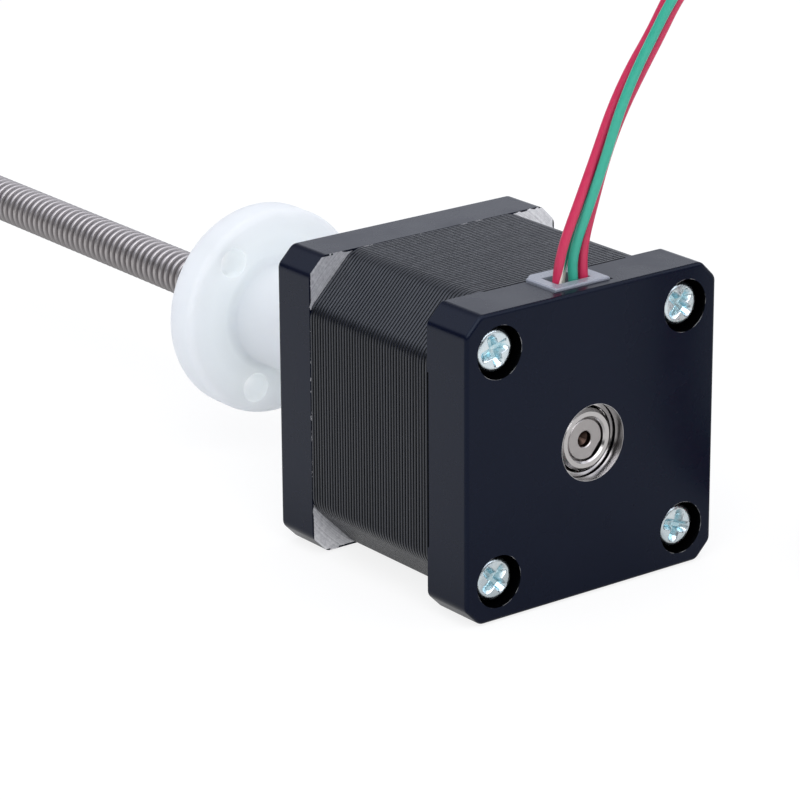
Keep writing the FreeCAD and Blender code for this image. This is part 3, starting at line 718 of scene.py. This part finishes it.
materials = {
    "rearBell": blackCoat("rear_bell_coat", "pocket", rearBare, (srgb(188, 187, 188), srgb(204, 203, 204)), 1.0, -0.04),
    "frontBell": blackCoat("front_bell_coat", "hole", frontBare, (srgb(188, 188, 193), srgb(246, 246, 249)), 0.6, 0.1),
    "stack": steel("lamination_gaps", (0.01, 0.011, 0.013, 1), (0.5, 0.6), 1500),
    "lamination": laminationPaint("lamination_paint"),
    "zinc": zincPlate("zinc_plate"),
    "bearing": steel("bearing_steel", srgb(180, 177, 176), (0.16, 0.26), 2200),
    "cage": steel("cage_strip", srgb(170, 166, 158), (0.3, 0.42), 1600),
    "washer": steel("spring_strip", srgb(120, 120, 122), (0.3, 0.4), 1600),
    "screw": rolledScrew("rolled_screw"),
    "rotor": steel("rotor_steel", srgb(120, 120, 124), (0.3, 0.45), 1500),
    "magnet": steel("magnet_plate", srgb(178, 178, 180), (0.2, 0.3), 1200),
    "spacer": steel("spacer_brass", srgb(196, 164, 92), (0.25, 0.35), 1200),
    "tinned": steel("tinned_strands", srgb(200, 200, 198), (0.25, 0.4), 3000),
    "copper": copperTurns("enamelled_wire"),
    "insulator": plastic("insulator_moulding", (0.02, 0.02, 0.022, 1), (0.028, 0.028, 0.03, 1), (0.45, 0.55), 2500),
    "nut": turnedPlastic("nut_acetal"),
    "grommet": plastic("grommet_nylon", srgb(130, 134, 146), srgb(152, 156, 166), (0.26, 0.36), 2500, 0.4, 0.8),
    "tie": plastic("tie_nylon", srgb(225, 225, 222), srgb(236, 236, 232), (0.4, 0.5), 2500, 0.2, 0.5),
}
for hue in ("red", "green"):
    materials[hue] = leadJacket(f"lead_{hue}_jacket", jacketSettings[hue])
    materials[hue + "Stripe"] = leadJacket(f"lead_{hue}_stripe_jacket", jacketSettings[hue],
                                           jacketSettings[hue + "Stripe"], leads[f"lead_{hue}_white"]["stripeAt"])
print("materials made:", len(materials))


# lamination stack: one crowned sheet edge, repeated along the stack

def laminationTree():
    tree, given, output = newTree("laminationEdges", ("Pitch", "Start", "Blend", "Edge", "Depth", "Rounding"),
                                  ("Sheets",))
    outline = filletCurve(tree, given["Geometry"], given["Blend"], 6)
    section = addNode(tree, "GeometryNodeCurvePrimitiveQuadrilateral", {"Width": given["Edge"],
                                                                       "Height": given["Depth"]})
    crowned = filletCurve(tree, section.outputs[0], given["Rounding"], 2)
    ring = addNode(tree, "GeometryNodeCurveToMesh", {"Curve": outline, "Profile Curve": crowned})
    start = addNode(tree, "ShaderNodeCombineXYZ", {"X": given["Start"]})
    step = addNode(tree, "ShaderNodeCombineXYZ", {"X": given["Pitch"]})
    places = addNode(tree, "GeometryNodeMeshLine", {"Count": given["Sheets"], "Start Location": start.outputs[0],
                                                    "Offset": step.outputs[0]})
    copies = addNode(tree, "GeometryNodeInstanceOnPoints", {"Points": places.outputs[0], "Instance": ring.outputs[0]})
    endTree(tree, copies.outputs[0], given, output)
    return tree


def laminationStack():
    s = stackSettings
    low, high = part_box("stator_core")
    half = high.z / mm
    short = half - s["crop"]
    corners = [(half, short), (short, half), (-short, half), (-half, short)]
    corners += [(-y, -z) for y, z in corners]
    curve = bpy.data.curves.new("sheetOutline", "CURVE")
    curve.dimensions = "3D"
    spline = curve.splines.new("POLY")
    spline.points.add(len(corners) - 1)
    grow = (half - s["depth"] / 2 + s["proud"]) / half
    for point, (y, z) in zip(spline.points, corners):
        point.co = (0, y * grow * mm, z * grow * mm, 1)
    spline.use_cyclic_u = True
    host = linkObject("sheetOutline", curve)
    return bakeTree(host, laminationTree(), {
        "Sheets": s["sheets"], "Pitch": s["pitch"] * mm, "Start": low.x + s["pitch"] / 2 * mm,
        "Blend": s["blend"] * mm, "Edge": s["edge"] * mm, "Depth": s["depth"] * mm, "Rounding": s["rounding"] * mm,
        "Material": materials["lamination"]}, "lamination_edges")


laminations = laminationStack()
print("laminations:", len(laminations.data.polygons), "faces")


# lathe: closed rings of an (x, radius) outline round the motor axis

nearAxis = 0.02   # radius at which an outline starts and ends
weldDistance = 1e-7


def latheMesh(name, outline, sides, reshape=None):
    verts, faces = [], []
    for x, r in outline:
        for k in range(sides):
            a = 2 * math.pi * k / sides
            place = Vector((x, r * math.cos(a), r * math.sin(a)))
            verts.append((reshape(place) if reshape else place) * mm)
    for i in range(len(outline) - 1):
        for k in range(sides):
            a, b = i * sides + k, i * sides + (k + 1) % sides
            faces.append((a, a + sides, b + sides, b))
    faces.append(tuple(range(sides)))
    faces.append(tuple((len(outline) - 1) * sides + k for k in reversed(range(sides))))
    obj = meshObject(name, verts, faces)
    work = bmesh.new()
    work.from_mesh(obj.data)
    bmesh.ops.remove_doubles(work, verts=work.verts, dist=weldDistance)
    bmesh.ops.recalc_face_normals(work, faces=work.faces)
    work.to_mesh(obj.data)
    work.free()
    return obj


def sharpenEdges(obj, degrees):
    obj.data.set_sharp_from_angle(angle=math.radians(degrees))


# lead screw: journals and root from a lathe, the thread as a swept helix

def threadTree():
    tree, given, output = newTree("screwThread", ("Turns", "Length", "Start", "Radius", "Depth", "Crest", "Foot",
                                                  "Round"), ("Steps",))
    helix = addNode(tree, "GeometryNodeCurveSpiral", {
        "Resolution": given["Steps"], "Rotations": given["Turns"], "Start Radius": given["Radius"],
        "End Radius": given["Radius"], "Height": given["Length"]})
    upright = addNode(tree, "GeometryNodeSetCurveNormal", {"Curve": helix.outputs[0]}, mode="Z_UP")
    ridge = addNode(tree, "GeometryNodeCurvePrimitiveQuadrilateral", {
        "Bottom Width": given["Crest"], "Top Width": given["Foot"], "Height": given["Depth"],
        "Offset": 0.0}, mode="TRAPEZOID")
    rounded = filletCurve(tree, ridge.outputs[0], given["Round"], 3)
    # the sweep takes the profile's X for outwards, so the crest is turned there
    outward = addNode(tree, "GeometryNodeTransform", {"Geometry": rounded, "Rotation": (0, 0, -math.pi / 2)})
    swept = addNode(tree, "GeometryNodeCurveToMesh", {"Curve": upright.outputs[0], "Profile Curve": outward.outputs[0],
                                                      "Fill Caps": True})
    start = addNode(tree, "ShaderNodeCombineXYZ", {"X": given["Start"]})
    laid = addNode(tree, "GeometryNodeTransform", {"Geometry": swept.outputs[0], "Translation": start.outputs[0],
                                                   "Rotation": (0, math.pi / 2, 0)})
    joined = addNode(tree, "GeometryNodeJoinGeometry")
    tree.links.new(laid.outputs[0], joined.inputs[0])
    tree.links.new(given["Geometry"], joined.inputs[0])
    endTree(tree, joined.outputs[0], given, output)
    return tree


def leadScrew():
    s = screwSettings
    low, high = (corner.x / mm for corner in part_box("lead_screw"))
    low += s["recess"]
    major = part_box("lead_screw")[1].z / mm
    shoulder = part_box("front_bearing_inner_ring")[1].x / mm
    root, journal, bevel, hole = major - s["depth"], s["journal"], s["bevel"], s["hole"]
    holeEnd, neckEnd, flatEnd = (low + s[key] for key in ("holeDepth", "neckLength", "flatLength"))
    angle = math.radians(s["flatAngle"])
    normal = Vector((0, math.cos(angle), math.sin(angle)))

    def flatten(place):
        past = place.dot(normal) - s["flatOffset"]
        return place - normal * past if past > 0 and place.x < flatEnd else place

    outline = [
        (holeEnd, nearAxis), (holeEnd - hole, hole), (low + s["holeBevel"], hole), (low, hole + s["holeBevel"]),
        (low, s["neck"] - bevel), (low + bevel, s["neck"]), (neckEnd, s["neck"]), (neckEnd, journal),
        (flatEnd - s["flatStep"], journal), (flatEnd + s["flatStep"], journal), (shoulder, journal),
        (shoulder, major - bevel), (shoulder + bevel, major), (shoulder + s["collar"], major),
        (shoulder + s["runOut"], root), (high - s["chamfer"], root), (high, root - s["chamfer"]), (high, nearAxis),
    ]
    host = latheMesh("screwBody", outline, s["sides"], flatten)
    sharpenEdges(host, s["sharp"])
    threadLength = high - shoulder - s["plain"]
    ridge = s["depth"] + s["sunk"]
    return bakeTree(host, threadTree(), {
        "Turns": threadLength / s["lead"], "Length": threadLength * mm, "Start": (shoulder + s["collar"]) * mm,
        "Radius": (major - ridge / 2) * mm, "Depth": ridge * mm, "Crest": s["crest"] * mm, "Foot": s["foot"] * mm,
        "Round": s["round"] * mm, "Steps": s["stepsPerTurn"], "Material": materials["screw"]}, "threaded_screw")


screwPiece = leadScrew()
print("lead screw:", len(screwPiece.data.polygons), "faces")


# tie screws: a pan head with a cross recess, set on the four corners

def crossDepth(y, z):
    s = tieScrewSettings
    r = math.hypot(y, z)
    arms = []
    for a, b in ((y, z), (z, y)):
        wall = min(max((s["arm"] - abs(b)) / s["wall"], 0), 1)
        end = min(max((s["reach"] - abs(a)) / s["end"], 0), 1)
        arms.append(wall * end)
    return s["recess"] * max(arms) * (1 - s["recessTaper"] * min(r / s["reach"], 1))


def panHeadScrew():
    s = tieScrewSettings
    low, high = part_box("tie_screws")
    top, tip = low.x / mm, high.x / mm
    seat = top + s["headHeight"]
    shank, core, head = s["shank"], s["shank"] - s["core"], s["headRadius"]
    outline = [(tip, nearAxis), (tip, core), (tip - s["coreLength"], core), (tip - s["coreLength"], shank),
               (seat, shank), (seat, head - s["bevel"]), (seat - s["bevel"], head)]
    for i in range(s["rings"] + 1):
        r = head * (1 - i / s["rings"])
        edge = max(r - (head - s["crown"]), 0) / s["crown"]
        dome = s["dome"] * (r / head) ** 2
        fall = (s["crown"] - s["dome"]) * (1 - math.sqrt(max(1 - edge ** 2, 0)))
        outline.append((top + dome + fall, max(r, nearAxis)))

    def recess(place):
        onTop = place.x < top + s["headHeight"] * s["recessShare"]
        if onTop and math.hypot(place.y, place.z) < s["reach"] + s["margin"]:
            return place + Vector((crossDepth(place.y, place.z), 0, 0))
        return place

    screw = latheMesh("panHead", outline, s["sides"], recess)
    sharpenEdges(screw, s["sharp"])
    return screw


screwTurns = {f"Turn {i}": math.radians(turn) for i, turn in enumerate(tieScrewSettings["turns"])}


def tieScrewTree():
    # the corners come in the order of the turns: upper right, upper left, lower right, lower left from the rear
    tree, given, output = newTree("cornerScrews", ("Pitch", *screwTurns))
    square = addNode(tree, "GeometryNodeMeshGrid", {"Size X": given["Pitch"], "Size Y": given["Pitch"],
                                                    "Vertices X": 2, "Vertices Y": 2})
    upright = addNode(tree, "GeometryNodeTransform", {"Geometry": square.outputs[0], "Rotation": (0, math.pi / 2, 0)})
    turn = addNode(tree, "GeometryNodeIndexSwitch", data_type="FLOAT")
    while len(turn.index_switch_items) < len(screwTurns):
        turn.index_switch_items.new()
    tree.links.new(addNode(tree, "GeometryNodeInputIndex").outputs[0], turn.inputs[0])
    for i, label in enumerate(screwTurns):
        tree.links.new(given[label], turn.inputs[i + 1])
    angle = addNode(tree, "ShaderNodeCombineXYZ", {"X": turn.outputs[0]})
    copies = addNode(tree, "GeometryNodeInstanceOnPoints", {
        "Points": upright.outputs[0], "Instance": given["Geometry"], "Rotation": angle.outputs[0]})
    endTree(tree, copies.outputs[0], given, output)
    return tree


screwHeads = bakeTree(panHeadScrew(), tieScrewTree(), {
    "Pitch": tieScrewSettings["pitch"] * mm, **screwTurns, "Material": materials["zinc"]}, "pan_head_screws")
print("tie screws:", len(screwHeads.data.polygons), "faces")


# finishes of the CAD nodes that stay

nodeFinish = {
    "rear_bell": "rearBell", "front_bell": "frontBell", "stator_core": "stack", "front_insulator": "insulator",
    "rear_insulator": "insulator", "phase_a_windings": "copper", "phase_b_windings": "copper",
    "rotor_cup_rear": "rotor", "rotor_cup_front": "rotor", "rotor_magnet": "magnet", "rear_spacer": "spacer",
    "front_spacer": "spacer", "wave_washer": "washer", "lead_nut": "nut", "lead_grommet": "grommet",
}
for end in ("rear", "front"):
    for part in ("outer_ring", "inner_ring", "balls", "shields"):
        nodeFinish[f"{end}_bearing_{part}"] = "bearing"
    nodeFinish[f"{end}_bearing_cage"] = "cage"
for nodeName, finish in nodeFinish.items():
    mesh = nodes[nodeName].data
    mesh.materials.clear()
    mesh.materials.append(materials[finish])


# rides, slots and cords

jackets = {"lead_red_white": "redStripe", "lead_green_white": "greenStripe", "lead_red": "red", "lead_green": "green"}
for leadName, made in leadPieces.items():
    wire, tip = made["wire"], made["end"]
    wire.data.materials.append(materials[jackets[leadName]])
    tip.data.materials.append(materials["tinned"])
    for piece in (wire, tip):
        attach(piece, "motor")
    replaced = [leadName, "lead_coil"] if leadName == "lead_red" else [leadName]
    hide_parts(*replaced)
coilTiePiece.data.materials.append(materials["tie"])
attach(coilTiePiece, "motor")
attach(laminations, "motor")
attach(screwHeads, "motor")
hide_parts("tie_screws")
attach(screwPiece, "rotor")
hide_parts("lead_screw")


# floor, light and world

studio = {
    "floorSize": 6.0, "floorDrop": 0.0002, "floorTone": 0.9, "white": 1.06, "shadowShare": 0.22, "ambient": 0.68,
    "floorMirror": (0.98, 1.36), "floorMirrorFrom": (-0.07, 0.02), "underneath": 0.42, "besideFrom": (8, 32),
    "rearFrom": (-75, -36), "cool": (0.93, 0.96, 1.05, 1), "behind": (0.766, -0.643), "backdropFrom": (0.4, 0.75),
    "ceilingFrom": (0.34, 0.52), "ceiling": (1.8, 0.2), "ceilingFades": (0.3, 0.62), "dark": 0.02, "mirrored": 1.27,
    "lamps": [("overhead", (-0.05, 0.0, 0.75), (0, 0, 0), 0.9, 1.2),
              ("front", (-0.47, 0.37, 0.57), (0, 0, 0), 0.7, 3.4),
              ("right", (-0.6, -0.55, 0.3), (-0.03, 0, 0), 0.6, 0.6)],
}


def seenRay(tree):
    path = addNode(tree, "ShaderNodeLightPath").outputs
    seen = mathNode(tree, "MAXIMUM", path["Is Camera Ray"], path["Is Glossy Ray"])
    return mathNode(tree, "MAXIMUM", seen, path["Is Transmission Ray"])


def addFloor(s):
    half = s["floorSize"] / 2
    level = floorLevel * mm - s["floorDrop"]
    corners = [(x * half, y * half, level) for x, y in ((-1, -1), (1, -1), (1, 1), (-1, 1))]
    floor = meshObject("floor", corners, [(0, 1, 2, 3)], smooth=False)
    paint = bpy.data.materials.new("pale_floor")
    tree = clearTree(paint)
    matte = addNode(tree, "ShaderNodeBsdfDiffuse", {"Color": (s["floorTone"],) * 3 + (1,)})
    # reflections see the floor brighter on the far side, and darker close under the object
    place = splitPlace(tree, objectCoords(tree))
    mirrored = spread(tree, place["X"], *s["floorMirror"], *s["floorMirrorFrom"])
    beside = spread(tree, mathNode(tree, "ABSOLUTE", place["Y"]), s["underneath"], 1,
                    *(reach * mm for reach in s["besideFrom"]))
    rear = spread(tree, place["X"], 1, s["underneath"], *(reach * mm for reach in s["rearFrom"]))
    mirrored = mathNode(tree, "MULTIPLY", mirrored, mathNode(tree, "MAXIMUM", beside, rear))
    camera = addNode(tree, "ShaderNodeLightPath").outputs["Is Camera Ray"]
    glow = addNode(tree, "ShaderNodeEmission", {"Color": white,
                                                "Strength": between(tree, camera, mirrored, s["white"])})
    share = mathNode(tree, "MULTIPLY", seenRay(tree), 1 - s["shadowShare"])
    mixed = addNode(tree, "ShaderNodeMixShader", {0: share, 1: matte.outputs[0], 2: glow.outputs[0]})
    addNode(tree, "ShaderNodeOutputMaterial", {"Surface": mixed.outputs[0]})
    floor.data.materials.append(paint)


def addWorld(s):
    world = bpy.data.worlds.new("studio")
    scene.world = world
    tree = clearTree(world)
    # reflections see a white backdrop behind the object, a dark room round it, and a bright ceiling that fades
    # towards the backdrop
    parts = splitPlace(tree, addNode(tree, "ShaderNodeTexCoord").outputs["Generated"])
    along = mathNode(tree, "ADD", *(mathNode(tree, "MULTIPLY", parts[axis], share)
                                    for axis, share in zip("XY", s["behind"])))
    around = spread(tree, along, s["dark"], s["mirrored"], *s["backdropFrom"])
    above = spread(tree, parts["Z"], 0, 1, *s["ceilingFrom"])
    room = between(tree, above, around, spread(tree, along, *s["ceiling"], *s["ceilingFades"]))
    camera = addNode(tree, "ShaderNodeLightPath").outputs["Is Camera Ray"]
    backdrop = between(tree, camera, room, s["white"])
    sky = addNode(tree, "ShaderNodeBackground", {"Color": mixColour(tree, camera, s["cool"], white),
                                                 "Strength": between(tree, seenRay(tree), s["ambient"], backdrop)})
    addNode(tree, "ShaderNodeOutputWorld", {"Surface": sky.outputs[0]})


def addLamps(s):
    for name, place, target, width, power in s["lamps"]:
        lamp = bpy.data.lights.new(name, "AREA")
        lamp.size, lamp.energy = width, power
        obj = linkObject(name, lamp)
        aim = Vector(target) - Vector(place)
        obj.matrix_world = Matrix.Translation(place) @ aim.to_track_quat("-Z", "Y").to_matrix().to_4x4()


addFloor(studio)
addWorld(studio)
addLamps(studio)
print("studio set")
